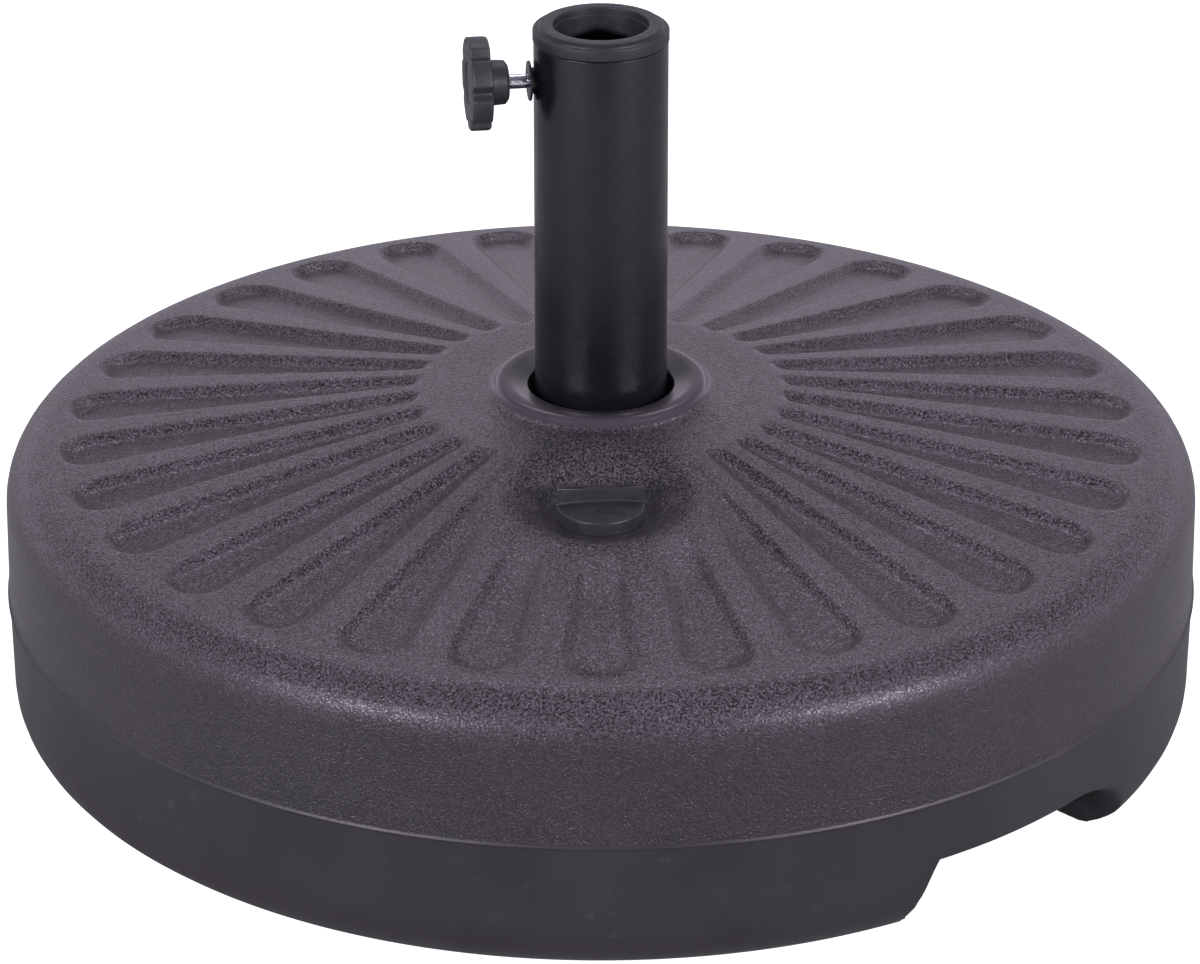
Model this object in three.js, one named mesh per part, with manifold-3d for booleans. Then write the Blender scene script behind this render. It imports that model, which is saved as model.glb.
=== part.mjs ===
// Fillable round base for a patio umbrella, in millimetres, +Z up.
// The origin is on the ground at the centre of the tank. The filler cap is at the front (-Y).
// Azimuths are counted from the front, towards +X.
import * as THREE from "three";
import { mergeVertices } from "three/addons/utils/BufferGeometryUtils.js";
import Module from "manifold-3d";

const wasm = await Module();
wasm.setup();

// ---------------------------------------------------------------- driving dimensions
const GAP = 0.3; // clearance between touching pieces
const ROUND = 60; // facets round the tank
const SMALL_ROUND = 32; // facets round the post and the small turned pieces

const TANK = {
  radius: 250, // over the parting line
  wallRadius: 249.2, // beside the parting line
  footWallRadius: 248.7, // where the lower wall meets its fillet
  rimWallRadius: 248.6, // where the upper wall meets its fillet
  seamHeight: 57.5,
  seamHalfWidth: 1.4,
  footFillet: 19.5,
  rimFillet: 20.5,
  rimCentreHeight: 98.4,
  footRingRadius: 198, // the tank stands on the ring outside this radius
  undersideHeight: 5,
  topSlope: 0.131, // rise of the top towards the middle
  plateauRadius: 76,
  plateauHeight: 139.4,
  wall: 3.2,
};
const COLLAR = { radius: 43.2, crestRadius: 39, crestHeight: 144.2, mouthHeight: 142.2 };
const SOCKET = { radius: 30.3, floorHeight: 10, drainRadius: 5, wall: 3.5 };

const FLUTE = {
  count: 30,
  innerRadius: 77,
  outerRadius: 225.5,
  innerHalfWidth: 5,
  outerHalfWidth: 14.6,
  depth: 3.5,
  wallWidth: 3,
};
const BOWL = { radius: 34, floorRadius: 23, floorHeight: 127, distance: 102, clearance: 8 };
const NECK = { radius: 13.3, wall: 3, length: 14 };
const GRIP = { azimuths: [44.7, 224.7], ceiling: 30, halfWidth: 53, depth: 46, corner: 8 };

const CAP = {
  radius: 17.5,
  skirt: 5.7,
  barHeight: 6.7,
  barThickness: 3.6,
  barOffset: 4.1, // the bar's middle plane stands this far behind the cap's axis
  plugRadius: 12.7,
  plugLength: 12,
  plugBore: 10.2,
  turn: 5, // degrees that the grip bar stands off the X axis
};
const GASKET = { innerRadius: 13.5, outerRadius: 15.8, thickness: 2 };

const POST = { radius: 27.45, wall: 1.5, top: 293.1, holeRadius: 5.7 };
const FOOT_PLUG = { lip: 3, insert: 8, drainRadius: 4 };
const CLAMP = { height: 277, azimuth: -81.5 };
const SLEEVE = {
  top: 300,
  bore: 19.3,
  mouthBore: 19.6,
  mouthDepth: 3,
  tube: 21.8,
  shoulderRadius: 26,
  shoulderBevel: 1.5,
  flangeRadius: 27.8,
  flangeTop: 298.2,
  ribCount: 8,
  ribRadius: 25.6,
  ribThickness: 2,
  bottom: 250,
  slotHalfWidth: 6.3,
};
const NUT = { barrelRadius: 5.4, barrelStart: 23.6, flangeRadius: 8.2, flangeStart: 28.9, flangeEnd: 29.9, bore: 3.3 };
const BOLT = { radius: 3, tip: 20.6, headStart: 46.4, headEnd: 50.4, headRadius: 5, tipBevel: 0.8 };
const KNOB = {
  hubStart: 38.2,
  hubRadius: 9.4,
  hubBevel: 1.2,
  plateStart: 46.1,
  plateEnd: 54.6,
  lobes: 7,
  radius: 19.2,
  scallopDepth: 2.6,
  edgeBevel: 0.9,
  firstLobe: 31, // degrees above the horizontal, on the side facing the front
};

const radians = THREE.MathUtils.degToRad;

// ---------------------------------------------------------------- solids
/** Joins shared corners and leaves out the triangles that shrink to a line on an axis. */
function weld(geometry) {
  const bare = geometry.clone();
  bare.deleteAttribute("normal");
  bare.deleteAttribute("uv");
  const merged = mergeVertices(bare, 1e-4);
  const corners = Array.from(merged.index.array);
  const kept = [];
  for (let i = 0; i < corners.length; i += 3) {
    const [a, b, c] = corners.slice(i, i + 3);
    if (a !== b && b !== c && c !== a) kept.push(a, b, c);
  }
  merged.setIndex(kept);
  return merged;
}

function toSolid(geometry) {
  const welded = weld(geometry);
  const vertProperties = new Float32Array(welded.attributes.position.array);
  const triVerts = new Uint32Array(welded.index.array);
  return new wasm.Manifold(new wasm.Mesh({ numProp: 3, vertProperties, triVerts }));
}

function toGeometry(solid) {
  const { vertProperties, triVerts } = solid.getMesh();
  const geometry = new THREE.BufferGeometry();
  geometry.setAttribute("position", new THREE.BufferAttribute(vertProperties, 3));
  geometry.setIndex(new THREE.BufferAttribute(triVerts, 1));
  geometry.computeVertexNormals();
  return geometry;
}

/** Revolves an outline of (radius, height), drawn counter-clockwise, about the Z axis. */
function revolve(outline, facets = SMALL_ROUND, arcSteps = 2) {
  const geometry = new THREE.LatheGeometry(outline.getPoints(arcSteps), facets);
  return geometry.rotateX(Math.PI / 2);
}

/** Outline through corners given as [radius, height]; `closed` joins the last to the first. */
function outlineOf(corners, closed = false) {
  const path = new THREE.Path();
  path.setFromPoints(corners.map(([radius, height]) => new THREE.Vector2(radius, height)));
  if (closed) path.lineTo(...corners[0]);
  return path;
}

/** Plain upright cylinder between two heights. */
function cylinder(radius, bottom, top, facets = SMALL_ROUND) {
  return revolve(outlineOf([[0, bottom], [radius, bottom], [radius, top], [0, top]]), facets);
}

/** Turns a shape made along +Z so that it lies along +X. */
function layAlongX(geometry) {
  return geometry.rotateY(Math.PI / 2);
}

/** Turns a shape made along +X so that it points along an azimuth. */
function aim(geometry, azimuth) {
  return geometry.rotateZ(radians(azimuth - 90));
}

function mesh(name, geometry, color, roughness, metalness = 0) {
  const piece = new THREE.Mesh(geometry, new THREE.MeshStandardMaterial({ color, roughness, metalness }));
  piece.name = name;
  return piece;
}

// ---------------------------------------------------------------- tank
const topTilt = Math.atan(TANK.topSlope);

/** Height of the sloping top before the flutes are sunk in it. */
function topHeight(radius) {
  return TANK.plateauHeight - (radius - TANK.plateauRadius) * TANK.topSlope;
}

function tankOutline() {
  const { seamHeight: seam, seamHalfWidth: half } = TANK;
  const path = new THREE.Path();
  path.moveTo(0, TANK.undersideHeight);
  path.lineTo(TANK.footRingRadius - 2 * TANK.undersideHeight, TANK.undersideHeight);
  path.lineTo(TANK.footRingRadius, 0);
  path.absarc(TANK.footWallRadius - TANK.footFillet, TANK.footFillet, TANK.footFillet, -Math.PI / 2, 0);
  path.lineTo(TANK.wallRadius, seam - half);
  path.lineTo(TANK.radius, seam);
  path.lineTo(TANK.wallRadius, seam + half);
  path.absarc(
    TANK.rimWallRadius - TANK.rimFillet, TANK.rimCentreHeight, TANK.rimFillet, 0, Math.PI / 2 - topTilt,
  );
  path.lineTo(TANK.plateauRadius, TANK.plateauHeight);
  path.lineTo(COLLAR.radius + 1.5, TANK.plateauHeight + 0.8);
  path.quadraticCurveTo(COLLAR.radius - 0.6, COLLAR.crestHeight, COLLAR.crestRadius, COLLAR.crestHeight);
  path.lineTo(SOCKET.radius, COLLAR.mouthHeight);
  path.lineTo(0, COLLAR.mouthHeight);
  return path;
}

/** Outline of the space that is filled with sand or water. */
function hollowOutline() {
  const floor = TANK.undersideHeight + TANK.wall;
  const socketWall = SOCKET.radius + SOCKET.wall;
  const sideWall = TANK.rimWallRadius - TANK.wall;
  const underFlutes = FLUTE.depth + TANK.wall;
  const rimStart = TANK.rimWallRadius - TANK.rimFillet;
  return outlineOf([
    [socketWall, floor],
    [TANK.footWallRadius - TANK.footFillet - TANK.wall, floor],
    [sideWall, TANK.footFillet + TANK.wall],
    [sideWall, TANK.rimCentreHeight],
    [sideWall - TANK.rimFillet / 2, topHeight(sideWall) - underFlutes],
    [rimStart, topHeight(rimStart) - underFlutes],
    [TANK.plateauRadius, TANK.plateauHeight - underFlutes],
    [socketWall, TANK.plateauHeight - underFlutes],
  ], true);
}

/** Plan of a flute's floor, pointing along +X, with round ends of two sizes. */
function fluteFloor(innerRadius) {
  const along = (innerRadius - FLUTE.innerRadius) / (FLUTE.outerRadius - FLUTE.innerRadius);
  const innerHalf = THREE.MathUtils.lerp(FLUTE.innerHalfWidth, FLUTE.outerHalfWidth, along) - FLUTE.wallWidth;
  const outerHalf = FLUTE.outerHalfWidth - FLUTE.wallWidth;
  const innerCentre = innerRadius + FLUTE.wallWidth + innerHalf;
  const outerCentre = FLUTE.outerRadius - FLUTE.wallWidth - outerHalf;
  const side = Math.acos((innerHalf - outerHalf) / (outerCentre - innerCentre));
  const shape = new THREE.Shape();
  shape.absarc(outerCentre, 0, outerHalf, side - Math.PI, Math.PI - side);
  shape.absarc(innerCentre, 0, innerHalf, Math.PI - side, Math.PI + side);
  return shape;
}

/** Where a flute starts: at the plateau, or beyond the filler's bowl. */
function fluteStart(azimuth) {
  const forward = BOWL.distance * Math.cos(radians(azimuth));
  const aside = BOWL.distance * Math.sin(radians(azimuth));
  const reach = (BOWL.radius + BOWL.clearance / 2) ** 2 - aside ** 2;
  if (forward < 0 || reach < 0) return FLUTE.innerRadius;
  return forward + Math.sqrt(reach);
}

/** Tool that sinks one flute: its bevelled underside makes the flute's floor and soft walls. */
function fluteTool(azimuth) {
  const tool = new THREE.ExtrudeGeometry(fluteFloor(fluteStart(azimuth)), {
    depth: 2,
    curveSegments: 3,
    bevelEnabled: true,
    bevelSegments: 1,
    bevelSize: FLUTE.wallWidth,
    bevelThickness: FLUTE.depth,
  });
  tool.translate(-TANK.plateauRadius, 0, 0);
  tool.rotateY(topTilt);
  tool.translate(TANK.plateauRadius, 0, TANK.plateauHeight);
  return toSolid(aim(tool, azimuth));
}

/** Tool for a hand grip under the rim, grown by `margin` where it shapes the tank's inside. */
function gripTool(azimuth, margin) {
  const top = GRIP.ceiling + margin;
  const foot = -10;
  const half = GRIP.halfWidth + margin;
  const shape = new THREE.Shape();
  shape.moveTo(foot, -half);
  shape.lineTo(foot, half);
  shape.lineTo(top - GRIP.corner, half);
  shape.quadraticCurveTo(top, half, top, half - GRIP.corner);
  shape.lineTo(top, GRIP.corner - half);
  shape.quadraticCurveTo(top, -half, top - GRIP.corner, -half);
  const depth = GRIP.depth + margin + GRIP.corner;
  const tool = new THREE.ExtrudeGeometry(shape, { depth, curveSegments: 3, bevelEnabled: false });
  tool.rotateY(-Math.PI / 2);
  tool.translate(TANK.radius + GRIP.corner, 0, 0);
  return toSolid(aim(tool, azimuth));
}

/** Tool for the bowl round the filler, grown by `margin` where it shapes the tank's inside. */
function bowlTool(margin) {
  const floor = BOWL.floorHeight - margin;
  const top = TANK.plateauHeight + 2;
  const slope = (BOWL.radius - BOWL.floorRadius) / (topHeight(BOWL.distance) - BOWL.floorHeight);
  const topRadius = BOWL.floorRadius + margin + slope * (top - BOWL.floorHeight);
  const outline = outlineOf([[0, floor], [BOWL.floorRadius + margin, floor], [topRadius, top], [0, top]]);
  return toSolid(revolve(outline, SMALL_ROUND).translate(0, -BOWL.distance, 0));
}

function filledNeck(radius, bottom, top) {
  return toSolid(cylinder(radius, bottom, top).translate(0, -BOWL.distance, 0));
}

function baseTank() {
  const neckEnd = BOWL.floorHeight - NECK.length;
  const spared = [
    bowlTool(TANK.wall),
    filledNeck(NECK.radius + NECK.wall, neckEnd, BOWL.floorHeight),
    ...GRIP.azimuths.map((azimuth) => gripTool(azimuth, TANK.wall)),
  ];
  const hollow = toSolid(revolve(hollowOutline(), ROUND)).subtract(wasm.Manifold.union(spared));
  const cuts = [
    hollow,
    bowlTool(0),
    filledNeck(NECK.radius, neckEnd - 1, BOWL.floorHeight + 1),
    toSolid(cylinder(SOCKET.radius, SOCKET.floorHeight, COLLAR.crestHeight + 5)),
    toSolid(cylinder(SOCKET.drainRadius, -1, SOCKET.floorHeight + 1)),
    ...GRIP.azimuths.map((azimuth) => gripTool(azimuth, 0)),
  ];
  for (let i = 0; i < FLUTE.count; i += 1) {
    const azimuth = (i * 360) / FLUTE.count;
    cuts.push(fluteTool(azimuth > 180 ? azimuth - 360 : azimuth));
  }
  const body = toSolid(revolve(tankOutline(), ROUND, 3));
  return mesh("base_tank", toGeometry(body.subtract(wasm.Manifold.union(cuts))), 0x4d4750, 0.62);
}

// ---------------------------------------------------------------- filler
/** Screw cap with a raised grip bar across its flat top, counted up from the bowl's floor. */
function fillerCap() {
  const top = CAP.skirt + GAP;
  const groove = GASKET.thickness + 2 * GAP;
  const body = toSolid(revolve(outlineOf([
    [0, CAP.skirt - 3],
    [CAP.plugBore, CAP.skirt - 3],
    [CAP.plugBore, -CAP.plugLength],
    [CAP.plugRadius - 0.8, -CAP.plugLength],
    [CAP.plugRadius, 0.8 - CAP.plugLength],
    [CAP.plugRadius, groove],
    [GASKET.outerRadius + GAP, groove],
    [GASKET.outerRadius + GAP, GAP],
    [CAP.radius, GAP],
    [CAP.radius, top - 0.4],
    [CAP.radius - 0.4, top],
    [0, top],
  ])));
  const bar = new THREE.BoxGeometry(2 * CAP.radius, CAP.barThickness, CAP.barHeight + 1);
  bar.translate(0, CAP.barOffset, top + (CAP.barHeight - 1) / 2);
  const barSolid = toSolid(bar).intersect(toSolid(cylinder(CAP.radius - 0.1, 0, 2 * top + CAP.barHeight)));
  return mesh("filler_cap", toGeometry(body.add(barSolid)), 0x24222a, 0.42);
}

function fillerCapGasket() {
  const outline = outlineOf([
    [GASKET.innerRadius, GAP],
    [GASKET.outerRadius, GAP],
    [GASKET.outerRadius, GAP + GASKET.thickness],
    [GASKET.innerRadius, GAP + GASKET.thickness],
  ], true);
  return mesh("filler_cap_gasket", revolve(outline), 0x151515, 0.8);
}

// ---------------------------------------------------------------- post, with the clamp along its +X
function postTube() {
  const foot = SOCKET.floorHeight + GAP + FOOT_PLUG.lip + GAP;
  const inner = POST.radius - POST.wall;
  const tube = revolve(outlineOf([
    [inner, foot],
    [POST.radius, foot],
    [POST.radius, POST.top],
    [inner, POST.top],
  ], true), 2 * SMALL_ROUND);
  const hole = layAlongX(cylinder(POST.holeRadius, inner - 5, POST.radius + 5, 24)).translate(0, 0, CLAMP.height);
  return mesh("post_tube", toGeometry(toSolid(tube).subtract(toSolid(hole))), 0x2b2930, 0.38, 0.15);
}

function postFootPlug() {
  const bottom = SOCKET.floorHeight + GAP;
  const insert = POST.radius - POST.wall - GAP;
  const outline = outlineOf([
    [FOOT_PLUG.drainRadius, bottom],
    [POST.radius - 1, bottom],
    [POST.radius, bottom + 1],
    [POST.radius, bottom + FOOT_PLUG.lip],
    [insert, bottom + FOOT_PLUG.lip],
    [insert, bottom + FOOT_PLUG.lip + FOOT_PLUG.insert - 1],
    [insert - 1, bottom + FOOT_PLUG.lip + FOOT_PLUG.insert],
    [FOOT_PLUG.drainRadius, bottom + FOOT_PLUG.lip + FOOT_PLUG.insert],
  ], true);
  return mesh("post_foot_plug", revolve(outline), 0x1d1c20, 0.55);
}

/** Reducing sleeve: a ribbed tube under a stepped flange, slotted so that it drops over the nut. */
function reducerSleeve() {
  const flangeBottom = POST.top + GAP;
  const mouthFloor = SLEEVE.top - SLEEVE.mouthDepth;
  const tube = toSolid(revolve(outlineOf([
    [SLEEVE.bore, SLEEVE.bottom],
    [SLEEVE.tube, SLEEVE.bottom],
    [SLEEVE.tube, flangeBottom],
    [SLEEVE.flangeRadius, flangeBottom],
    [SLEEVE.flangeRadius, SLEEVE.flangeTop],
    [SLEEVE.shoulderRadius, SLEEVE.flangeTop],
    [SLEEVE.shoulderRadius - SLEEVE.shoulderBevel, SLEEVE.top],
    [SLEEVE.mouthBore, SLEEVE.top],
    [SLEEVE.mouthBore, mouthFloor],
    [SLEEVE.bore, mouthFloor - 0.5],
  ], true), 2 * SMALL_ROUND));
  const ribs = [];
  for (let i = 0; i < SLEEVE.ribCount; i += 1) {
    const length = SLEEVE.ribRadius - SLEEVE.bore - 1;
    const height = flangeBottom - SLEEVE.bottom;
    const rib = new THREE.BoxGeometry(length, SLEEVE.ribThickness, height - 1);
    rib.translate(SLEEVE.ribRadius - length / 2, 0, SLEEVE.bottom + (height + 1) / 2);
    rib.rotateZ(((i + 0.5) * 2 * Math.PI) / SLEEVE.ribCount);
    ribs.push(toSolid(rib));
  }
  const slotTop = CLAMP.height + SLEEVE.slotHalfWidth;
  const slot = new THREE.BoxGeometry(2 * SLEEVE.ribRadius, 2 * SLEEVE.slotHalfWidth, slotTop - SLEEVE.bottom + 10);
  slot.translate(SLEEVE.ribRadius, 0, (slotTop + SLEEVE.bottom - 10) / 2);
  const sleeve = tube.add(wasm.Manifold.union(ribs)).subtract(toSolid(slot));
  return mesh("reducer_sleeve", toGeometry(sleeve), 0x232127, 0.5);
}

/** Flanged nut fixed in the post's wall; the clamp screw runs in it. */
function clampNut() {
  const outline = outlineOf([
    [NUT.bore, NUT.barrelStart],
    [NUT.barrelRadius, NUT.barrelStart],
    [NUT.barrelRadius, NUT.flangeStart],
    [NUT.flangeRadius, NUT.flangeStart],
    [NUT.flangeRadius, NUT.flangeEnd - 0.3],
    [NUT.flangeRadius - 0.5, NUT.flangeEnd],
    [NUT.bore, NUT.flangeEnd],
  ], true);
  return mesh("clamp_nut", layAlongX(revolve(outline)), 0x1c1b1f, 0.45, 0.3);
}

function clampBolt() {
  const outline = outlineOf([
    [0, BOLT.tip],
    [BOLT.radius - BOLT.tipBevel, BOLT.tip],
    [BOLT.radius, BOLT.tip + BOLT.tipBevel],
    [BOLT.radius, BOLT.headStart],
    [BOLT.headRadius, BOLT.headStart],
    [BOLT.headRadius, BOLT.headEnd],
    [0, BOLT.headEnd],
  ]);
  return mesh("clamp_bolt", layAlongX(revolve(outline, 24)), 0xc9ccd2, 0.25, 1);
}

/** Plan of the star: full lobes with a narrow round scallop between each two. */
function starPlan() {
  const steps = 12;
  const points = [];
  for (let i = 0; i < KNOB.lobes * steps; i += 1) {
    const turn = (i / steps) * 2 * Math.PI;
    const dip = Math.max(0, -Math.cos(turn)) ** 2;
    const radius = KNOB.radius - KNOB.edgeBevel - KNOB.scallopDepth * dip;
    const angle = turn / KNOB.lobes;
    points.push(new THREE.Vector2(radius * Math.cos(angle), radius * Math.sin(angle)));
  }
  return new THREE.Shape(points);
}

/** Star knob moulded round the bolt's head. */
function clampKnob() {
  const star = new THREE.ExtrudeGeometry(starPlan(), {
    depth: KNOB.plateEnd - KNOB.plateStart - 2 * KNOB.edgeBevel,
    curveSegments: 1,
    bevelEnabled: true,
    bevelSegments: 1,
    bevelSize: KNOB.edgeBevel,
    bevelThickness: KNOB.edgeBevel,
  });
  star.translate(0, 0, KNOB.plateStart + KNOB.edgeBevel);
  star.rotateZ(radians(90 + KNOB.firstLobe));
  const hub = revolve(outlineOf([
    [0, KNOB.hubStart],
    [KNOB.hubRadius - 2 * KNOB.hubBevel, KNOB.hubStart],
    [KNOB.hubRadius - 0.4, KNOB.hubStart + KNOB.hubBevel],
    [KNOB.hubRadius, KNOB.plateStart + 1],
    [0, KNOB.plateStart + 1],
  ]));
  const pocket = revolve(outlineOf([
    [0, KNOB.hubStart - 1],
    [BOLT.radius + GAP, KNOB.hubStart - 1],
    [BOLT.radius + GAP, BOLT.headStart - GAP],
    [BOLT.headRadius + GAP, BOLT.headStart - GAP],
    [BOLT.headRadius + GAP, BOLT.headEnd + GAP],
    [0, BOLT.headEnd + GAP],
  ]), 24);
  const knob = toSolid(star).add(toSolid(hub)).subtract(toSolid(pocket));
  return mesh("clamp_knob", layAlongX(toGeometry(knob)), 0x2a282e, 0.5);
}

// ---------------------------------------------------------------- assembly
const base = new THREE.Group();
base.add(baseTank());

const filler = new THREE.Group();
filler.position.set(0, -BOWL.distance, BOWL.floorHeight);
filler.rotation.z = radians(CAP.turn);
filler.add(fillerCap(), fillerCapGasket());
base.add(filler);

const post = new THREE.Group();
post.rotation.z = radians(CLAMP.azimuth - 90);
post.add(postTube(), postFootPlug(), reducerSleeve());
base.add(post);

const clamp = new THREE.Group();
clamp.position.z = CLAMP.height;
clamp.add(clampNut(), clampBolt(), clampKnob());
post.add(clamp);

export default base;
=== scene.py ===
"""Looks of a fillable round umbrella base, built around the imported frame.

Every piece of the frame is replaced by a finer one in the same place. Shapes are written in
millimetres and become metres when a mesh is made. Azimuths are counted from the front (-Y),
towards +X.
"""

import math

import bmesh
import bpy
import numpy as np
from mathutils import Matrix, Vector


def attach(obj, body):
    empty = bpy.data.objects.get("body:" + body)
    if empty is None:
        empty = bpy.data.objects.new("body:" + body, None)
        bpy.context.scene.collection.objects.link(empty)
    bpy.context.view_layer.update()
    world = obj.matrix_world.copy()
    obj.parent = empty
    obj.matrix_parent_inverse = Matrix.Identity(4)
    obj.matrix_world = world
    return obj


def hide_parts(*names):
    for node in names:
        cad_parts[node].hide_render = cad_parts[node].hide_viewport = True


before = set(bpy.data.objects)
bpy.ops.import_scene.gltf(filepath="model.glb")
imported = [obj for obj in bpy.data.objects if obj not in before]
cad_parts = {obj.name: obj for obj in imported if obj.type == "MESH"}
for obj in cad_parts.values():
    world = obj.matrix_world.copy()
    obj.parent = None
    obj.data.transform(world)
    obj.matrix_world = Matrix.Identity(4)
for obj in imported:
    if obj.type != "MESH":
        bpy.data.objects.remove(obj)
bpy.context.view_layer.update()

MM = 0.001

# ---------------------------------------------------------------- dimensions, in millimetres
# A flute's wall starts "lip" outside the flute's edge; its steepest place is "turn" of the way in.
FLUTE = {
    "count": 30, "start": 77, "end": 225.5, "start_half": 5, "end_half": 14.6,
    "depth": 3.3, "lip": 1.3, "wall": 7, "turn": 0.35,
}
# The flutes keep "margin" from the bowl and fade out over "fade" beside it.
BOWL = {
    "distance": 102, "radius": 35.5, "floor_radius": 22.5, "floor": 127,
    "edge_blend": 5.5, "foot_blend": 6, "margin": 4, "fade": 32,
}
GRIP = {"azimuths": (44.7, 224.7), "ceiling": 30, "drop": 10, "half_width": 50, "back": 204, "soft": 7}
TANK_WALL = 3.2
SEAM = 57.5
PLATEAU = {"radius": 76, "height": 139.4, "slope": 0.026}
RIM = {"centre_radius": 228.1, "centre_height": 98.4, "fillet": 20.5}
CLAMP_HEIGHT = 277
CLAMP_DIRECTION = Vector((-0.989016, -0.147809, 0))
CAP_TURN = math.radians(5)
KNOB_RADIUS = 19.2
KNOB_TURN = math.radians(31)

TINT = (0.93, 0.86, 1.0)


# ---------------------------------------------------------------- outlines
def line(start, end, steps):
    """Points from start up to, but not including, end."""
    share = np.linspace(0, 1, steps, endpoint=False)[:, None]
    return np.array(start) * (1 - share) + np.array(end) * share


def arc(centre, radius, first, last, steps):
    """Points on an arc between two angles in degrees, both ends included."""
    turn = np.radians(np.linspace(first, last, steps + 1))
    return np.array(centre) + radius * np.column_stack((np.cos(turn), np.sin(turn)))


def rounded(corners, steps=4, closed=False):
    """Outline through corners (x, y, fillet), each rounded by its own fillet radius."""
    points = []
    for i, (x, y, fillet) in enumerate(corners):
        here = np.array((x, y), float)
        at_end = not closed and i in (0, len(corners) - 1)
        if fillet == 0 or at_end:
            points.append(here)
            continue
        back = np.array(corners[i - 1][:2]) - here
        ahead = np.array(corners[(i + 1) % len(corners)][:2]) - here
        back /= np.linalg.norm(back)
        ahead /= np.linalg.norm(ahead)
        half = math.acos(np.clip(back @ ahead, -1, 1)) / 2
        middle = (back + ahead) / np.linalg.norm(back + ahead)
        centre = here + middle * fillet / math.sin(half)
        first = here + back * fillet / math.tan(half) - centre
        sweep = math.pi - 2 * half
        side = math.copysign(1, back[0] * ahead[1] - back[1] * ahead[0])
        for share in np.linspace(0, 1, steps + 1):
            turn = -side * sweep * share
            c, s = math.cos(turn), math.sin(turn)
            points.append(centre + np.array((c * first[0] - s * first[1], s * first[0] + c * first[1])))
    return np.array(points)


def smoothstep(value):
    value = np.clip(value, 0, 1)
    return value * value * (3 - 2 * value)


# ---------------------------------------------------------------- meshes
def new_piece(name, points, faces, sharp=38):
    """Closed mesh from points in millimetres, with its faces pointing out."""
    data = bpy.data.meshes.new(name)
    data.from_pydata((np.asarray(points) * MM).tolist(), [], faces)
    work = bmesh.new()
    work.from_mesh(data)
    bmesh.ops.recalc_face_normals(work, faces=work.faces)
    work.to_mesh(data)
    work.free()
    piece = bpy.data.objects.new(name, data)
    bpy.context.scene.collection.objects.link(piece)
    shade(piece, sharp)
    return piece


def shade(piece, sharp):
    """Smooth shading, with edges sharper than an angle in degrees left sharp."""
    piece.data.shade_smooth()
    piece.data.set_sharp_from_angle(angle=math.radians(sharp))


def loft(name, rings, wrap, sharp=38):
    """Skin over rings of points. The last ring joins the first, or both ends are closed by fans."""
    rings = np.asarray(rings, float)
    count, columns = rings.shape[:2]
    ring = np.arange(count if wrap else count - 1)[:, None]
    column = np.arange(columns)[None, :]
    after = (column + 1) % columns
    above = (ring + 1) % count
    corners = (
        ring * columns + column,
        ring * columns + after,
        above * columns + after,
        above * columns + column,
    )
    faces = np.stack(corners, axis=-1).reshape(-1, 4).tolist()
    points = rings.reshape(-1, 3).tolist()
    if not wrap:
        for edge, first in ((0, 0), (-1, (count - 1) * columns)):
            points.append(rings[edge].mean(axis=0).tolist())
            tip = len(points) - 1
            faces += [(tip, first + i, first + (i + 1) % columns) for i in range(columns)]
    return new_piece(name, points, faces, sharp)


def around(outline, columns, shape=None):
    """Rings of an outline (radius, height) turned about Z; shape scales a ring by its angles."""
    turn = np.linspace(0, 2 * math.pi, columns, endpoint=False)
    rings = []
    for radius, height in outline:
        reach = np.full(columns, radius) if shape is None else shape(radius, height, turn)
        level = np.full(columns, height)
        rings.append(np.column_stack((reach * np.cos(turn), reach * np.sin(turn), level)))
    return rings


def turned(name, outline, columns, wrap=False):
    """Solid of revolution; an open outline starts and ends close to the axis."""
    return loft(name, around(outline, columns), wrap)


def block(name, low, high):
    """Plain box, used only as a tool."""
    corners = [(x, y, z) for x in (low[0], high[0]) for y in (low[1], high[1]) for z in (low[2], high[2])]
    faces = [(0, 1, 3, 2), (4, 6, 7, 5), (0, 4, 5, 1), (2, 3, 7, 6), (0, 2, 6, 4), (1, 5, 7, 3)]
    return new_piece(name, corners, faces)


def shift(piece, matrix):
    piece.data.transform(matrix)
    return piece


def combine(piece, tool, operation="DIFFERENCE", sharp=38):
    """Cuts a tool out of a piece, or joins it on, and removes the tool."""
    modifier = piece.modifiers.new("combine", "BOOLEAN")
    modifier.operation = operation
    modifier.solver = "MANIFOLD"
    modifier.object = tool
    graph = bpy.context.evaluated_depsgraph_get()
    data = bpy.data.meshes.new_from_object(piece.evaluated_get(graph))
    piece.modifiers.clear()
    piece.data = data
    bpy.data.objects.remove(tool)
    shade(piece, sharp)
    return piece


def fit(piece, material, node, body):
    """Gives a finished piece its material and its place in the frame."""
    piece.data.materials.clear()
    piece.data.materials.append(material)
    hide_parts(node)
    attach(piece, body)


# ---------------------------------------------------------------- tank shape
def tank_azimuths():
    """Azimuths of the tank's columns: close together on the flutes' walls and the grips' ends."""
    pitch = 360 / FLUTE["count"]
    half = np.array([0.7, 1.7, 2.5, 3.0, 3.4, 3.7, 3.95, 4.2, 4.5, 5.0, 5.68])
    offsets = np.concatenate((-half[::-1], half))
    azimuths = [i * pitch + offset for i in range(FLUTE["count"]) for offset in offsets]
    for grip in GRIP["azimuths"]:
        for side in (-1, 1):
            azimuths += list(grip + side * np.linspace(11, 17.5, 20))
    azimuths = np.sort(np.mod(azimuths, 360))
    gaps = np.diff(azimuths, append=azimuths[0] + 360)
    return np.radians(azimuths[gaps > 0.12])


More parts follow.
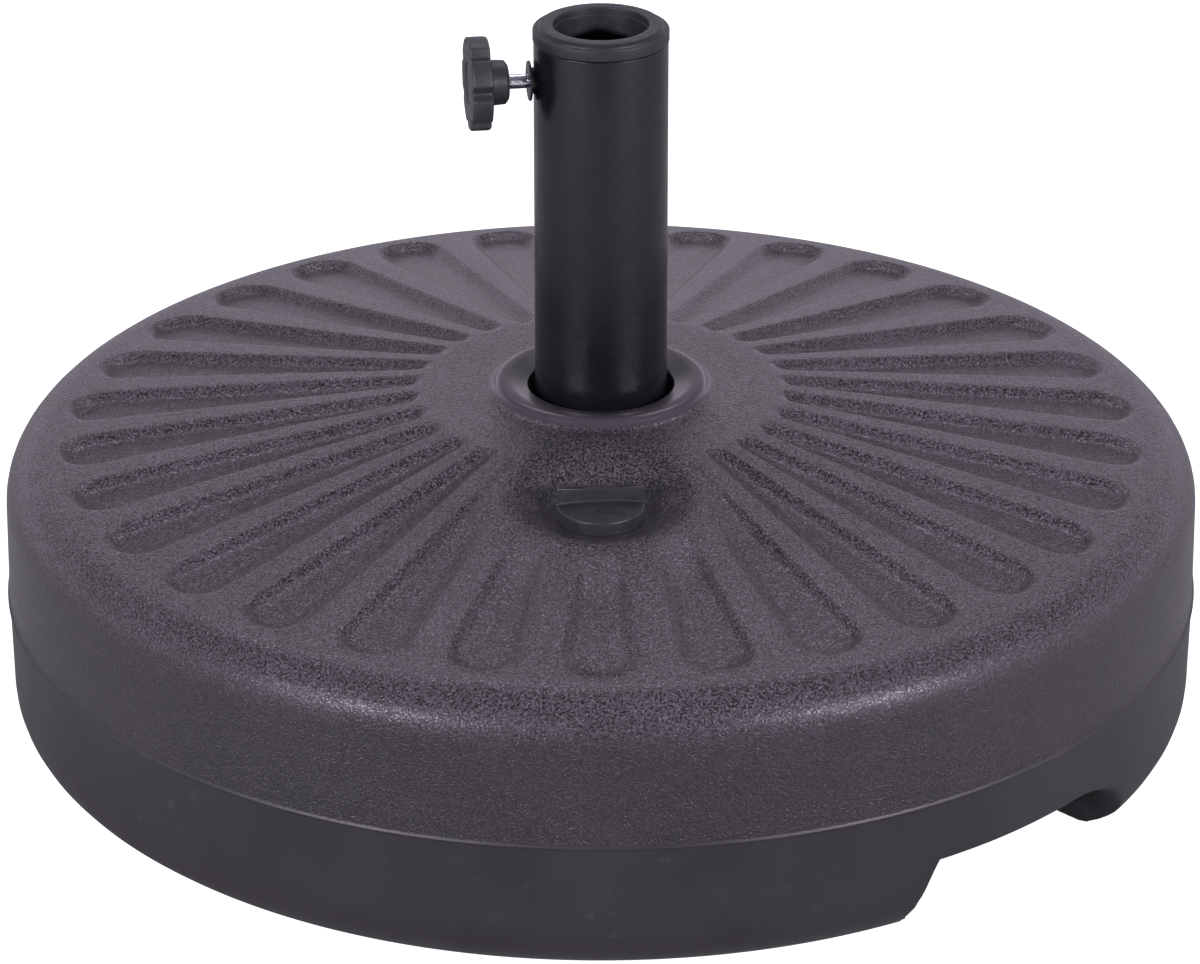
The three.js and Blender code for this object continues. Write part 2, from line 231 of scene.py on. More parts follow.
def top_line(radius):
    """Height of the sloping top before flutes and bowl."""
    rim = RIM["centre_radius"] + RIM["fillet"] * math.sin(math.radians(7.5))
    rim_height = RIM["centre_height"] + RIM["fillet"] * math.cos(math.radians(7.5))
    share = (np.asarray(radius) - PLATEAU["radius"]) / (rim - PLATEAU["radius"])
    return PLATEAU["height"] + share * (rim_height - PLATEAU["height"])


def bowl_distance(radius, azimuth):
    return np.hypot(radius * np.sin(azimuth), radius * np.cos(azimuth) - BOWL["distance"])


def flute_start(azimuth):
    """Where the flute at an azimuth starts: at the plateau, or beyond the bowl."""
    forward = BOWL["distance"] * np.cos(azimuth)
    aside = BOWL["distance"] * np.sin(azimuth)
    reach = (BOWL["radius"] + BOWL["margin"]) ** 2 - aside**2
    beyond = forward + np.sqrt(np.maximum(reach, 0))
    return np.where((forward > 0) & (reach > 0), beyond, FLUTE["start"])


def flute_depth(radius, azimuth):
    """How far the flutes sink the top at each point."""
    pitch = 2 * math.pi / FLUTE["count"]
    middle = np.round(azimuth / pitch) * pitch
    start = flute_start(middle)
    along = (start - FLUTE["start"]) / (FLUTE["end"] - FLUTE["start"])
    small = FLUTE["start_half"] + along * (FLUTE["end_half"] - FLUTE["start_half"])
    large = FLUTE["end_half"]
    first = start + small
    length = FLUTE["end"] - large - first
    forward = radius * np.cos(azimuth - middle) - first
    aside = np.abs(radius * np.sin(azimuth - middle))
    spread = (small - large) / length
    square = np.sqrt(1 - spread**2)
    place = -spread * aside + square * forward
    beside = square * aside + spread * forward - small
    behind = np.hypot(aside, forward) - small
    ahead = np.hypot(aside, forward - length) - large
    lip = np.where(place < 0, behind, np.where(place > square * length, ahead, beside))
    inward = np.clip((FLUTE["lip"] - lip) / FLUTE["wall"], 0, 1)
    turn = FLUTE["turn"]
    crisp = inward**2 / turn
    soft = turn + 2 * (inward - turn) - (inward - turn) ** 2 / (1 - turn)
    clear = smoothstep((bowl_distance(radius, azimuth) - BOWL["radius"]) / BOWL["fade"])
    return FLUTE["depth"] * np.where(inward < turn, crisp, soft) * clear


def sink_bowl(height, radius, azimuth):
    """Lowers the top to the filler's bowl, with soft edges."""
    out = bowl_distance(radius, azimuth) - BOWL["floor_radius"]
    slope = (top_line(BOWL["distance"]) - BOWL["floor"]) / (BOWL["radius"] - BOWL["floor_radius"])
    bowl = BOWL["floor"] + slope * (out + np.sqrt(out * out + BOWL["foot_blend"])) / 2
    blend = BOWL["edge_blend"]
    share = np.clip(0.5 + 0.5 * (bowl - height) / blend, 0, 1)
    return bowl * (1 - share) + height * share - blend * share * (1 - share)


def tank_outline():
    """Outline (radius, height) from the drain out, over the rim and down the socket, in named parts."""
    rim_start, rim_height = RIM["centre_radius"], RIM["centre_height"]
    step = [(185 + 15 * s, 5 - 5 * float(smoothstep(s))) for s in np.linspace(0, 1, 4)]
    seam = [(249.2, 55.9), (249.28, 56.7), (249.95, 57.3), (249.95, 57.7), (249.28, 58.3), (249.2, 59.1)]
    top = np.concatenate((np.linspace(229.4, 208, 14), np.linspace(203, 142, 12), np.linspace(138, 49.5, 34)))
    collar = [
        (49.4, 140.1, 0), (45.6, 140.2, 4.5), (43.2, 144.3, 3.2), (38.4, 144.1, 5), (30.3, 142, 1.4),
        (30.3, 136, 0),
    ]
    socket = [(30.3, 90), (30.3, 40), (30.3, 12), (29.6, 10.4), (28.6, 10), (5.6, 10), (5, 9.4)]
    return {
        "underside": np.array([(5, 5.6), (5.6, 5), (60, 5), (125, 5), *step]),
        "foot": line((203, 0), (229.2, 0), 6),
        "foot_fillet": arc((229.2, 19.5), 19.5, -90, 0, 8)[:-1],
        "low_wall": line((248.7, 19.5), (248.9, 36), 6),
        "wall": line((248.9, 36), (249.2, 55.9), 3),
        "seam": np.array(seam),
        "upper_wall": line((249.15, 62), (248.6, rim_height), 3),
        "rim": arc((rim_start, rim_height), RIM["fillet"], 0, 82.5, 10),
        "top": np.column_stack((top, top_line(top))),
        "collar": rounded(collar, steps=3),
        "socket": np.array(socket),
    }


def grip_outline(back, ceiling):
    """Outline in a hand grip: up its back wall, along its ceiling and out to the wall."""
    foot = np.concatenate((arc((back - 3, 3), 3, -90, 0, 2), line((back, 9), (back, ceiling - 7), 3)))
    inner = arc((back + 7, ceiling - 7), 7, 180, 90, 3)
    across = line((back + 12, ceiling), (245.4, ceiling), 3)
    lip = arc((245.4, ceiling + 3.4), 3.4, -90, 0, 3)
    wall = line((248.84, ceiling + 4.6), (248.9, 36), 2)
    return np.concatenate((foot, inner, across, lip, wall))


def tank_rings():
    """Rings of the tank's skin: the turned outline with flutes, bowl and grips worked into it."""
    azimuth = tank_azimuths()
    outline = tank_outline()
    radius_rows, height_rows = [], []
    for part, points in outline.items():
        radius = np.repeat(points[:, :1], len(azimuth), axis=1)
        height = np.repeat(points[:, 1:], len(azimuth), axis=1)
        if part == "top":
            turn = np.repeat(azimuth[None, :], len(points), axis=0)
            turn = np.where(turn > math.pi, turn - 2 * math.pi, turn)
            plateau = PLATEAU["height"] + (PLATEAU["radius"] - radius) * PLATEAU["slope"]
            base = np.where(radius < PLATEAU["radius"], plateau, height)
            height = sink_bowl(base - flute_depth(radius, turn), radius, turn)
        radius_rows.append(radius)
        height_rows.append(height)
    parts = list(outline)
    first = sum(len(outline[part]) for part in parts[: parts.index("foot")])
    radius, height = np.concatenate(radius_rows), np.concatenate(height_rows)
    press_grips(radius, height, azimuth, first)
    return np.stack((radius * np.sin(azimuth), -radius * np.cos(azimuth), height), axis=-1)


def press_grips(radius, height, azimuth, first):
    """Presses the hand grips into the rings that start at the foot."""
    for grip in GRIP["azimuths"]:
        offset = np.mod(azimuth - math.radians(grip) + math.pi, 2 * math.pi) - math.pi
        for column in np.flatnonzero(np.abs(offset) < math.radians(22)):
            back = GRIP["back"] / math.cos(offset[column])
            shape = grip_outline(back, grip_ceiling(offset[column]))
            rows = slice(first, first + len(shape))
            plain = np.column_stack((radius[rows, column], height[rows, column]))
            half = grip_half_width(plain, offset[column] > 0) / plain[:, 0]
            soft = GRIP["soft"] / plain[:, 0]
            share = smoothstep(0.5 + (half - abs(math.sin(offset[column]))) / soft)
            radius[rows, column] += share * (shape[:, 0] - plain[:, 0])
            height[rows, column] += share * (shape[:, 1] - plain[:, 1])


def grip_ceiling(offset):
    """Ceiling height at an angle from a grip's middle; it comes down towards the far end."""
    along = 245 * math.sin(offset)
    share = float(np.clip((along - 22) / 31, 0, 1))
    return GRIP["ceiling"] - GRIP["drop"] * share**2


def grip_half_width(points, far_end):
    """Distance from a grip's middle to its end wall at points (radius, height) of the plain outline.

    Both ends flare out towards the ground.
    """
    radius, height = points[:, 0], points[:, 1]
    if far_end:
        flare = 3 + 0.4 * np.clip(15 - height, 0, 12)
    else:
        flare = 3.5 + 0.38 * np.clip(31.7 - height, 0, 25)
    return GRIP["half_width"] + flare * smoothstep((radius - 230) / 15)


def tank_hollow():
    """The space for sand or water, as a tool."""
    outline = rounded([
        (33.8, 8.2, 0), (226, 8.2, 0), (245.4, 22.7, 0), (245.4, 98.4, 0), (235.2, 112, 0), (228, 112.7, 0),
        (76, 132.4, 0), (33.8, 132.7, 0),
    ], closed=True)
    hollow = turned("hollow", outline, 96, wrap=True)
    bowl = turned("bowl", [(0.01, 123.8), (26.2, 123.8), (44, 138.5), (0.01, 138.5)], 48)
    neck = turned("neck", [(0.01, 113), (16.3, 113), (16.3, 130), (0.01, 130)], 48)
    for spared in (bowl, neck):
        combine(hollow, shift(spared, Matrix.Translation((0, -BOWL["distance"] * MM, 0))))
    for grip in GRIP["azimuths"]:
        spared = block("spared", (-66, -260, -5), (66, TANK_WALL - GRIP["back"], GRIP["ceiling"] + TANK_WALL))
        combine(hollow, shift(spared, Matrix.Rotation(math.radians(grip), 4, "Z")))
    return hollow


def make_tank(material):
    tank = loft("tank", tank_rings(), wrap=True, sharp=50)
    combine(tank, tank_hollow(), sharp=50)
    bore = [(0.01, 111), (13.3, 111), (13.3, 126.4), (14.2, 127.3), (14.2, 129), (0.01, 129)]
    bore = shift(turned("bore", bore, 96), Matrix.Translation((0, -BOWL["distance"] * MM, 0)))
    combine(tank, bore, sharp=50)
    fit(tank, material, "base_tank", "tank")


# ---------------------------------------------------------------- filler cap and gasket
def bar_rings(radius, levels):
    """Rings of the cap's grip bar, which bows back across the disc; levels are (height, inset)."""
    across = np.linspace(-1, 1, 25)
    rings = []
    for height, inset in levels:
        front = 3.3 - 2.2 * across**2 + inset
        back = 6.9 - 2.2 * across**2 - inset
        dish = 1.5 * (1 - across**2) if height > 8 else 0 * across
        near = np.column_stack((across * np.sqrt((radius - inset) ** 2 - front**2), front, height - dish))
        far = np.column_stack((across * np.sqrt((radius - inset) ** 2 - back**2), back, height - dish))
        rings.append(np.concatenate((near, far[::-1])))
    return rings


def make_cap(material):
    outline = rounded([
        (0.01, 2.7, 0), (10.2, 2.7, 0.8), (10.2, -12, 0.5), (12.7, -12, 0.8), (12.7, 2.6, 0.3),
        (16.1, 2.6, 0.2), (16.1, 0.3, 0.1), (17.7, 0.3, 0.3), (17.7, 6, 0.55), (0.01, 6, 0),
    ])
    cap = turned("cap", outline, 160)
    quarter = np.linspace(0, 1.57, 5)
    fillet = [(6.6 - 0.6 * math.cos(turn), -0.6 * (1 - math.sin(turn))) for turn in quarter]
    crown = [(12.6 + 0.6 * math.sin(turn), 0.6 * (1 - math.cos(turn))) for turn in quarter]
    bar = loft("bar", bar_rings(17.5, [(5.4, -0.6), *fillet, (7.5, 0), *crown]), wrap=False)
    combine(cap, bar, "UNION")
    combine(cap, thread("cap_thread", 12.55, 13.05, -10.5, 0.5, lead=4, width=1.5), "UNION")
    place = Matrix.Translation((0, -BOWL["distance"] * MM, BOWL["floor"] * MM))
    shift(cap, place @ Matrix.Rotation(CAP_TURN, 4, "Z"))
    fit(cap, material, "filler_cap", "cap")


def thread(name, root, crest, bottom, top, lead, width):
    """One helical thread ridge about Z that fades out at both ends."""
    turns = (top - bottom) / lead
    rings = []
    for share in np.linspace(0, 1, int(turns * 48) + 1):
        fade = float(smoothstep(min(share, 1 - share) * turns * 4))
        turn = 2 * math.pi * turns * share
        height = bottom + (top - bottom) * share
        ridge = root - 0.3 + (crest - root + 0.3) * fade
        section = ((root - 0.4, -0.5), (ridge, -0.18), (ridge, 0.18), (root - 0.4, 0.5))
        rings.append([(r * math.cos(turn), r * math.sin(turn), height + z * width) for r, z in section])
    return loft(name, rings, wrap=False)


def make_gasket(material):
    outline = rounded([(13.5, 0.3, 0.5), (15.8, 0.3, 0.5), (15.8, 2.3, 0.5), (13.5, 2.3, 0.5)], closed=True)
    gasket = turned("gasket", outline, 96, wrap=True)
    shift(gasket, Matrix.Translation((0, -BOWL["distance"] * MM, BOWL["floor"] * MM)))
    fit(gasket, material, "filler_cap_gasket", "cap_seal")


# ---------------------------------------------------------------- post and sleeve
def clamp_frame():
    """Local axes of the clamp: X out along the screw, Y towards the front, Z up."""
    out = CLAMP_DIRECTION.normalized()
    up = Vector((0, 0, 1))
    side = up.cross(out)
    rotation = Matrix((out, side, up)).transposed().to_4x4()
    return Matrix.Translation((0, 0, CLAMP_HEIGHT * MM)) @ rotation


def lay_along_x():
    """Turns a shape made along +Z so that it lies along +X, with its own X towards local Y."""
    return Matrix(((0, 0, 1, 0), (1, 0, 0, 0), (0, 1, 0, 0), (0, 0, 0, 1)))


def on_clamp(piece):
    return shift(piece, clamp_frame() @ lay_along_x())


def make_post(material):
    outline = rounded([
        (25.95, 13.6, 0.3), (27.45, 13.6, 0.3), (27.45, 293.1, 0.3), (25.95, 293.1, 0.3),
    ], closed=True)
    post = turned("post", outline, 256, wrap=True)
    combine(post, on_clamp(turned("hole", [(0.01, 15), (5.7, 15), (5.7, 40), (0.01, 40)], 48)))
    fit(post, material, "post_tube", "post")


def make_post_plug(material):
    outline = rounded([
        (4, 10.3, 0.4), (27.45, 10.3, 1), (27.45, 13.3, 0.3), (25.65, 13.3, 0.2), (25.65, 21.3, 1),
        (22.8, 21.3, 0.4), (22.8, 14.6, 1), (6, 14.6, 0.8), (6, 18.5, 0.4), (4, 18.5, 0.4),
    ], closed=True)
    plug = turned("post_plug", outline, 160, wrap=True)
    fit(plug, material, "post_foot_plug", "post")


def make_sleeve(material):
    outline = rounded([
        (19.3, 250, 0.5), (21.8, 250, 0.5), (21.8, 293.4, 0.4), (27.8, 293.4, 0.4), (27.8, 298.2, 0.6),
        (26.1, 298.2, 0.12), (26, 298.7, 0.3), (24.7, 300, 0.6), (19.6, 300, 0.5), (19.6, 297, 0.1),
        (19.3, 296.6, 0.1),
    ], closed=True)
    sleeve = turned("sleeve", outline, 256, wrap=True)
    for i in range(8):
        rib = block("rib", (21.2, -1, 251), (25.6, 1, 293.9))
        turn = Matrix.Rotation(math.radians(45 * i + 22.5 - 171.5), 4, "Z")
        combine(sleeve, shift(rib, turn), "UNION")
    slot = rounded([(240, -6.3, 0), (240, 6.3, 0), (283.3, 6.3, 5), (283.3, -6.3, 5)], closed=True)
    rings = [[(x, y, z) for z, y in slot] for x in (15, 30)]
    combine(sleeve, shift(loft("slot", rings, wrap=False), Matrix.Rotation(math.radians(-171.5), 4, "Z")))
    fit(sleeve, material, "reducer_sleeve", "sleeve")


# ---------------------------------------------------------------- clamp
def make_nut(material):
    outline = rounded([
        (3.3, 23.6, 0.3), (5.4, 23.6, 0.3), (5.4, 28.9, 0.1), (8.2, 28.9, 0.2), (8.2, 29.9, 0.35),
        (3.3, 29.9, 0.4),
    ], closed=True)
    nut = on_clamp(turned("nut", outline, 96, wrap=True))
    fit(nut, material, "clamp_nut", "post")


def make_bolt(material):
    outline = rounded([
        (0.01, 20.6, 0), (1.9, 20.6, 0.2), (2.5, 21.3, 0.2), (2.5, 30.2, 0.1), (3, 30.8, 0.2),
        (3, 46.4, 0.1), (5, 46.4, 0.3), (5, 50.4, 0.4), (0.01, 50.4, 0),
    ])
    bolt = turned("bolt", outline, 64)
    combine(bolt, thread("bolt_thread", 2.45, 2.95, 21.6, 30.4, lead=1, width=0.9), "UNION")
    fit(on_clamp(bolt), material, "clamp_bolt", "screw")


def star_radius(turn):
    """Reach of the seven-lobed star at an angle: full lobes with a narrow round scallop between."""
    pitch = 2 * math.pi / 7
    from_lobe = np.mod(turn - KNOB_TURN + pitch / 2, pitch) - pitch / 2
    to_scallop = pitch / 2 - np.abs(from_lobe)
    dip = 0.5 + 0.5 * np.cos(np.clip(to_scallop / math.radians(10.5), 0, 1) * math.pi)
    return KNOB_RADIUS - 2.6 * dip**0.8


def make_knob(material):
    outline = rounded([
        (3.3, 46.1, 0.1), (3.3, 38.2, 0.3), (7.2, 38.2, 0.7), (9.0, 39.6, 0.6), (9.4, 46.1, 0.7),
        (KNOB_RADIUS, 46.1, 1.1), (KNOB_RADIUS, 54.6, 1.1), (9.6, 54.6, 0.8), (8.8, 53.8, 0.8),
        (0.01, 53.8, 0),
    ])
    inner = rounded([(0.01, 50.7, 0), (5.3, 50.7, 0.2), (5.3, 46.1, 0.1), (3.35, 46.1, 0)], steps=2)
    outline = np.concatenate((inner, outline[1:]))

    def shape(radius, height, turn):
        share = smoothstep((radius - 10.2) / 4)
        return radius + share * (star_radius(turn) - KNOB_RADIUS)

    knob = on_clamp(loft("knob", around(outline, 336, shape), wrap=False))
    fit(knob, material, "clamp_knob", "knob")


# ---------------------------------------------------------------- materials
class Finish:
    """A material built node by node; lengths in its patterns are in millimetres."""

    def __init__(self, name):
        self.material = bpy.data.materials.new(name)
        self.material.use_nodes = True
        self.tree = self.material.node_tree
        self.tree.nodes.clear()
        place = self.add("ShaderNodeTexCoord").outputs["Object"]
        scaled = self.add("ShaderNodeVectorMath", {0: place, 1: (1000, 1000, 1000)}, operation="MULTIPLY")
        self.place = scaled.outputs[0]
        axes = self.add("ShaderNodeSeparateXYZ", {0: self.place}).outputs
        self.x, self.y, self.z = axes[0], axes[1], axes[2]

    def add(self, kind, inputs=None, **settings):
        node = self.tree.nodes.new(kind)
        for key, value in settings.items():
            setattr(node, key, value)
        for key, value in (inputs or {}).items():
            if isinstance(value, bpy.types.NodeSocket):
                self.tree.links.new(value, node.inputs[key])
            else:
                node.inputs[key].default_value = value
        return node

    def math(self, operation, a, b=0.0, c=0.0):
        return self.add("ShaderNodeMath", {0: a, 1: b, 2: c}, operation=operation).outputs[0]

    def noise(self, size, detail=2.0, roughness=0.5, distortion=0.0):
        """Noise whose features are about size millimetres across."""
        inputs = {
            "Vector": self.place,
            "Scale": 1 / size,
            "Detail": detail,
            "Roughness": roughness,
            "Distortion": distortion,
        }
        return self.add("ShaderNodeTexNoise", inputs).outputs["Fac"]

    def pebbles(self, size):
        """Rounded cells about size millimetres across, high in their middles."""
        inputs = {"Vector": self.place, "Scale": 1 / size, "Smoothness": 0.35}
        cells = self.add("ShaderNodeTexVoronoi", inputs, feature="SMOOTH_F1").outputs["Distance"]
        return self.math("SUBTRACT", 1.0, cells)

    def ramp(self, value, low, high, out_low=0.0, out_high=1.0):
        """Smooth change from out_low to out_high as value goes from low to high."""
        inputs = {"Value": value, 1: low, 2: high, 3: out_low, 4: out_high}
        node = self.add("ShaderNodeMapRange", inputs, interpolation_type="SMOOTHSTEP")
        return node.outputs["Result"]

    def mix(self, share, a, b):
        """Blend of two colours by share; a colour is three numbers or a socket."""
        first = (*a, 1) if isinstance(a, tuple) else a
        second = (*b, 1) if isinstance(b, tuple) else b
        return self.add("ShaderNodeMix", {0: share, 6: first, 7: second}, data_type="RGBA").outputs[2]

    def bump(self, height, distance, before=None):
        """Bump whose full height is distance millimetres."""
        inputs = {"Height": height, "Distance": distance * MM, "Strength": 1.0}
        if before is not None:
            inputs["Normal"] = before
        return self.add("ShaderNodeBump", inputs).outputs["Normal"]

    def finish(self, **inputs):
        sockets = {}
        for key, value in inputs.items():
            sockets[key.replace("_", " ").title().replace("Ior", "IOR")] = value
        shader = self.add("ShaderNodeBsdfPrincipled", sockets)
        self.add("ShaderNodeOutputMaterial", {"Surface": shader.outputs[0]})
        return self.material


def tank_plastic():
    """Blow-moulded plastic: grained above the parting line, smooth and scuffed below it."""
    look = Finish("tank_plastic")
    squares = look.math("ADD", look.math("MULTIPLY", look.x, look.x), look.math("MULTIPLY", look.y, look.y))
    from_axis = look.math("SQRT", squares)
    forward = look.math("ADD", look.y, float(BOWL["distance"]))
    squares = look.math("ADD", look.math("MULTIPLY", look.x, look.x), look.math("MULTIPLY", forward, forward))
    from_cap = look.math("SQRT", squares)
    upper = look.ramp(look.z, SEAM + 0.6, SEAM + 1.6)
    grained = look.math("MULTIPLY", upper, look.ramp(from_axis, 44.5, 47))
    grained = look.math("MULTIPLY", grained, look.ramp(from_cap, 22.5, 25, 0.25, 1.0))

    pebble = look.ramp(look.pebbles(1.4), 0.3, 0.95)
    curl = look.ramp(look.noise(0.85, detail=1, roughness=0.5, distortion=0.3), 0.38, 0.62)
    grain = look.math("MULTIPLY_ADD", curl, 0.7, look.math("MULTIPLY", pebble, 0.3))

    cloud = look.noise(38, detail=3)
    speckle = look.noise(2.4, detail=3)
    top = look.mix(look.ramp(cloud, 0.3, 0.7), (0.045, 0.040, 0.047), (0.056, 0.050, 0.059))
    # Painted shade and painted highlight: grain pits are darkened and grain peaks lightened in the colour,
    # standing in for the grain's own shading and sparkle; depth fades this painted light lower down the
    # walls.
    depth = look.math("MULTIPLY", look.ramp(look.z, 98, 118, 0.45, 1.0), grained)
    painted_pit_shade = look.math("MULTIPLY", look.ramp(grain, 0.45, 0.1), depth)
    painted_peak_highlight = look.math("MULTIPLY", look.ramp(grain, 0.6, 0.95), depth)
    top = look.mix(look.math("MULTIPLY", painted_pit_shade, 0.9), top, (0.005, 0.004, 0.006))
    top = look.mix(look.math("MULTIPLY", painted_peak_highlight, 0.7), top, (0.15, 0.14, 0.155))
    # Painted shade: the colour darkens from 118 mm down to 96 mm, standing in for the rim and upper walls
    # getting less light than the top.
    top = look.mix(look.ramp(look.z, 118, 96, 0.0, 0.52), top, (0.005, 0.004, 0.006))
    low = look.mix(look.ramp(cloud, 0.3, 0.7), (0.016, 0.014, 0.017), (0.022, 0.020, 0.023))
    scratch = look.math("ABSOLUTE", look.math("SUBTRACT", look.noise(14, detail=1, distortion=1.5), 0.5))
    scratch = look.math("MULTIPLY", look.ramp(scratch, 0.0022, 0.0), look.ramp(look.noise(30), 0.55, 0.7))
    scuff = look.math("MULTIPLY", look.ramp(look.noise(9, detail=5, roughness=0.7), 0.58, 0.8), 0.3)
    wear = look.math("MAXIMUM", look.math("MULTIPLY", scratch, 0.5), scuff)
    low = look.mix(wear, low, (0.11, 0.10, 0.12))
    colour = look.mix(upper, low, top)

    rough = look.mix(upper, (0.46, 0.46, 0.46), (0.30, 0.30, 0.30))
    rough = look.math("MULTIPLY_ADD", speckle, 0.10, look.math("SUBTRACT", rough, 0.05))
    normal = look.bump(look.noise(60, detail=2), 0.35)
    normal = look.bump(look.noise(0.9, detail=3), 0.012, normal)
    normal = look.bump(look.math("MULTIPLY", grain, grained), 0.22, normal)
    return look.finish(base_color=colour, roughness=rough, normal=normal, specular_ior_level=0.5)


def moulded_plastic(name, dark, light, roughness, grain=0.02):
    """Small dark mouldings: satin, slightly mottled, with rubbed high spots."""
    look = Finish(name)
    colour = look.mix(look.ramp(look.noise(7, detail=3), 0.3, 0.7), dark, light)
    rub = look.math("MULTIPLY", look.ramp(look.noise(2.2, detail=4, roughness=0.7), 0.6, 0.8), 0.25)
    colour = look.mix(rub, colour, tuple(2 * c for c in light))
    rough = look.ramp(look.noise(3, detail=3), 0.3, 0.7, roughness - 0.05, roughness + 0.07)
    normal = look.bump(look.noise(0.5, detail=3), grain)
    return look.finish(base_color=colour, roughness=rough, normal=normal, specular_ior_level=0.45)


def powder_coat():
    """Satin black powder coat with a fine orange peel."""
    look = Finish("powder_coat")
    cloud = look.ramp(look.noise(25, detail=3), 0.3, 0.7)
    colour = look.mix(cloud, (0.0045, 0.0038, 0.006), (0.006, 0.005, 0.008))
    fleck = look.math("MULTIPLY", look.ramp(look.noise(1.1, detail=2), 0.68, 0.76), 0.35)
    colour = look.mix(fleck, colour, (0.05, 0.047, 0.055))
    rough = look.ramp(look.noise(12, detail=3), 0.3, 0.7, 0.25, 0.31)
    normal = look.bump(look.noise(0.8, detail=2), 0.02)
    return look.finish(base_color=colour, roughness=rough, normal=normal, specular_ior_level=0.5)


def black_steel():
    look = Finish("nut_black_steel")
    cloud = look.ramp(look.noise(1.5, detail=3), 0.45, 0.7)
    colour = look.mix(cloud, (0.012, 0.012, 0.014), (0.03, 0.03, 0.034))
    rough = look.ramp(look.noise(1.2, detail=3), 0.3, 0.7, 0.25, 0.45)
    normal = look.bump(look.noise(0.6, detail=3), 0.02)
    return look.finish(base_color=colour, roughness=rough, metallic=0.3, normal=normal)


def zinc_plate():
    look = Finish("zinc_plate")
    cloud = look.ramp(look.noise(1.6, detail=3), 0.3, 0.7)
    colour = look.mix(cloud, (0.62, 0.64, 0.70), (0.80, 0.82, 0.86))
    rough = look.ramp(look.noise(0.8, detail=3), 0.3, 0.7, 0.16, 0.30)
    normal = look.bump(look.noise(0.4, detail=3), 0.008)
    return look.finish(base_color=colour, roughness=rough, metallic=1.0, normal=normal)


def soft_rubber():
    look = Finish("gasket_rubber")
    cloud = look.ramp(look.noise(2, detail=3), 0.3, 0.7)
    colour = look.mix(cloud, (0.010, 0.010, 0.010), (0.017, 0.017, 0.017))
    rough = look.ramp(look.noise(1.5, detail=3), 0.3, 0.7, 0.7, 0.85)
    return look.finish(base_color=colour, roughness=rough, normal=look.bump(look.noise(0.5), 0.02))


# ---------------------------------------------------------------- studio
def aim_at(thing, place, target):
    thing.location = place
    thing.rotation_euler = (Vector(target) - Vector(place)).to_track_quat("-Z", "Y").to_euler()


def softbox(name, azimuth, elevation, distance, width, height, power):
    """Rectangular lamp that faces the tank from an azimuth and elevation in degrees."""
    data = bpy.data.lights.new(name, "AREA")
    data.shape = "RECTANGLE"
    data.size, data.size_y = width, height
    data.energy = power
    data.color = TINT
    lamp = bpy.data.objects.new(name, data)
    bpy.context.scene.collection.objects.link(lamp)
    turn, rise = math.radians(azimuth), math.radians(elevation)
    target = (0, 0, 0.1)
    place = (distance * math.sin(turn) * math.cos(rise), -distance * math.cos(turn) * math.cos(rise),
             target[2] + distance * math.sin(rise))
    aim_at(lamp, place, target)


def make_world():
    """White studio: the camera sees white; the rest is lit by a bright horizon at the back and sides."""
    world = bpy.data.worlds.new("studio")
    bpy.context.scene.world = world
    world.use_nodes = True
    tree = world.node_tree
    tree.nodes.clear()

    def add(kind, *inputs, **settings):
        node = tree.nodes.new(kind)
        for key, value in settings.items():
            setattr(node, key, value)
        for index, value in enumerate(inputs):
            if isinstance(value, bpy.types.NodeSocket):
                tree.links.new(value, node.inputs[index])
            else:
                node.inputs[index].default_value = value
        return node.outputs[0]

    place = add("ShaderNodeTexCoord").node.outputs["Generated"]
    axes = add("ShaderNodeSeparateXYZ", place).node.outputs
    behind = add("ShaderNodeMapRange", axes["Y"], -0.85, 0.05, 0.0, 1.0, interpolation_type="SMOOTHSTEP")
    height = add("ShaderNodeMath", axes["Z"], operation="ABSOLUTE")
    horizon = add("ShaderNodeMapRange", height, 0.1, 0.44, 1.0, 0.0, interpolation_type="SMOOTHSTEP")
    band = add("ShaderNodeMath", behind, horizon, operation="MULTIPLY")
    glow = add("ShaderNodeMath", band, 1.15, operation="MULTIPLY")
    haze = add("ShaderNodeMath", behind, 0.20, 0.06, operation="MULTIPLY_ADD")
    light = add("ShaderNodeMath", glow, haze, operation="ADD")
    seen = add("ShaderNodeLightPath").node.outputs["Is Camera Ray"]
    around_it = add("ShaderNodeBackground", (*TINT, 1), light)
    backdrop = add("ShaderNodeBackground", (1, 1, 1, 1), 1.0)
    surface = add("ShaderNodeMixShader", seen, around_it, backdrop)
    output = tree.nodes.new("ShaderNodeOutputWorld")
    tree.links.new(surface, output.inputs[0])


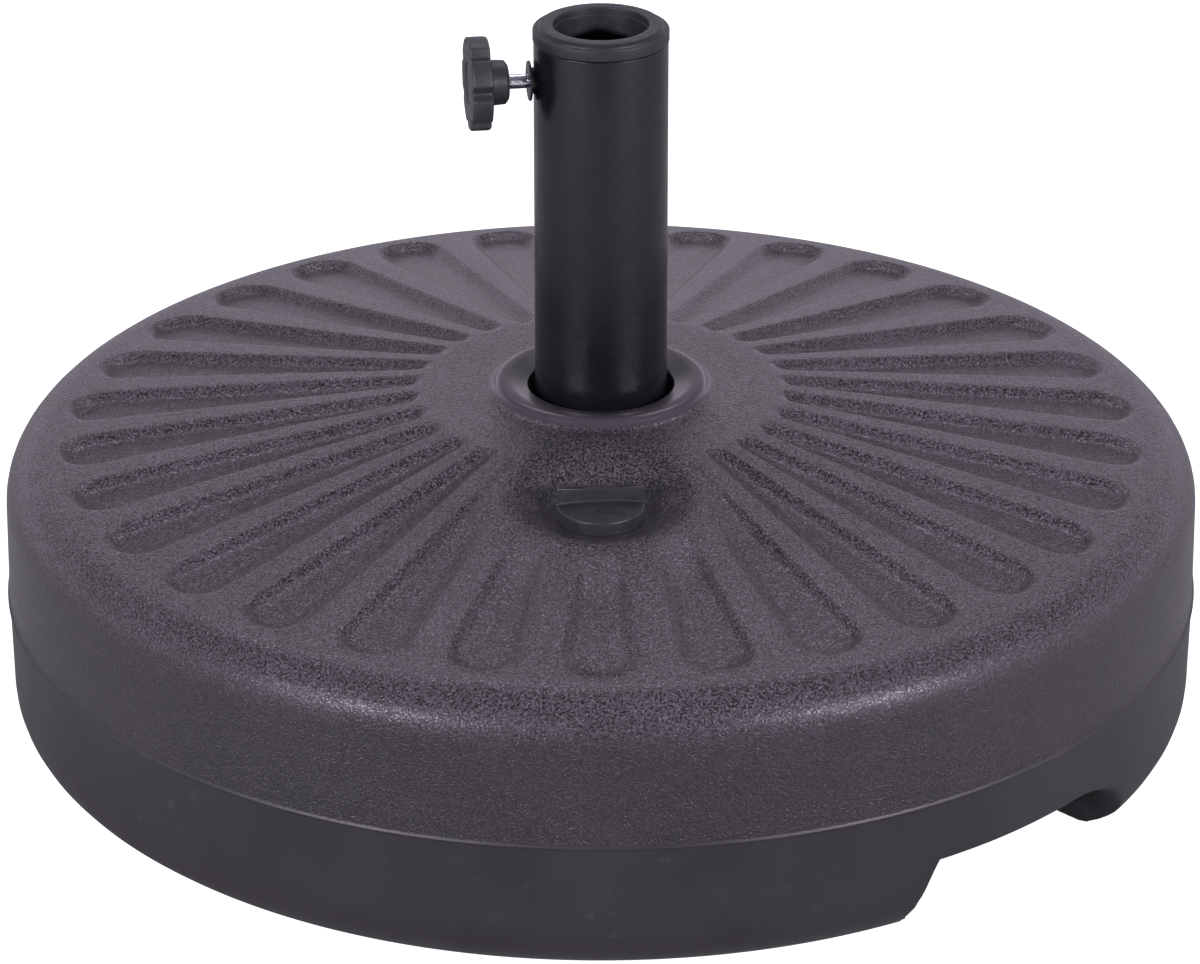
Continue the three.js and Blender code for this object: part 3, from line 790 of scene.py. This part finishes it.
def make_floor():
    """Plain floor: white to the camera, pale grey to everything that it lights."""
    data = bpy.data.meshes.new("floor")
    reach = 30
    corners = [(-reach, -reach, 0), (reach, -reach, 0), (reach, reach, 0), (-reach, reach, 0)]
    data.from_pydata(corners, [], [(0, 1, 2, 3)])
    floor = bpy.data.objects.new("floor", data)
    bpy.context.scene.collection.objects.link(floor)
    floor.location.z = -0.0003
    material = bpy.data.materials.new("floor_white")
    material.use_nodes = True
    shader = material.node_tree.nodes["Principled BSDF"]
    shader.inputs["Base Color"].default_value = (0.48, 0.48, 0.48, 1)
    shader.inputs["Roughness"].default_value = 0.9
    shader.inputs["Specular IOR Level"].default_value = 0.1
    seen = material.node_tree.nodes.new("ShaderNodeLightPath")
    glow = material.node_tree.nodes.new("ShaderNodeMapRange")
    material.node_tree.links.new(seen.outputs["Is Camera Ray"], glow.inputs[0])
    for index, value in ((1, 0.0), (2, 1.0), (3, 0.05), (4, 1.0)):
        glow.inputs[index].default_value = value
    shader.inputs["Emission Color"].default_value = (1, 1, 1, 1)
    material.node_tree.links.new(glow.outputs[0], shader.inputs["Emission Strength"])
    data.materials.append(material)


def make_camera():
    data = bpy.data.cameras.new("camera")
    data.sensor_width = 36
    data.lens = 155.35
    camera = bpy.data.objects.new("camera", data)
    bpy.context.scene.collection.objects.link(camera)
    camera.location = (0, -1.9767, 1.0112)
    camera.rotation_euler = (math.pi / 2 - 0.4337, 0, 0.0002)
    bpy.context.scene.camera = camera


def make_studio():
    bpy.context.scene.view_settings.view_transform = "Standard"
    make_world()
    make_floor()
    make_camera()
    softbox("front_left", -41, 20, 2.6, 1.3, 0.12, 50)
    softbox("front_right", 48, 20, 2.6, 1.2, 0.12, 52)
    softbox("back_top", 180, 58, 2.8, 2.6, 0.8, 25)


# ---------------------------------------------------------------- build
make_studio()
make_tank(tank_plastic())
make_cap(moulded_plastic("cap_plastic", (0.025, 0.024, 0.026), (0.032, 0.031, 0.033), 0.36))
make_gasket(soft_rubber())
make_post(powder_coat())
sleeve_finish = moulded_plastic("sleeve_plastic", (0.016, 0.015, 0.019), (0.022, 0.020, 0.025), 0.46)
make_post_plug(sleeve_finish)
make_sleeve(sleeve_finish)
make_nut(black_steel())
make_bolt(zinc_plate())
make_knob(moulded_plastic("knob_plastic", (0.024, 0.024, 0.027), (0.034, 0.033, 0.037), 0.46, grain=0.03))
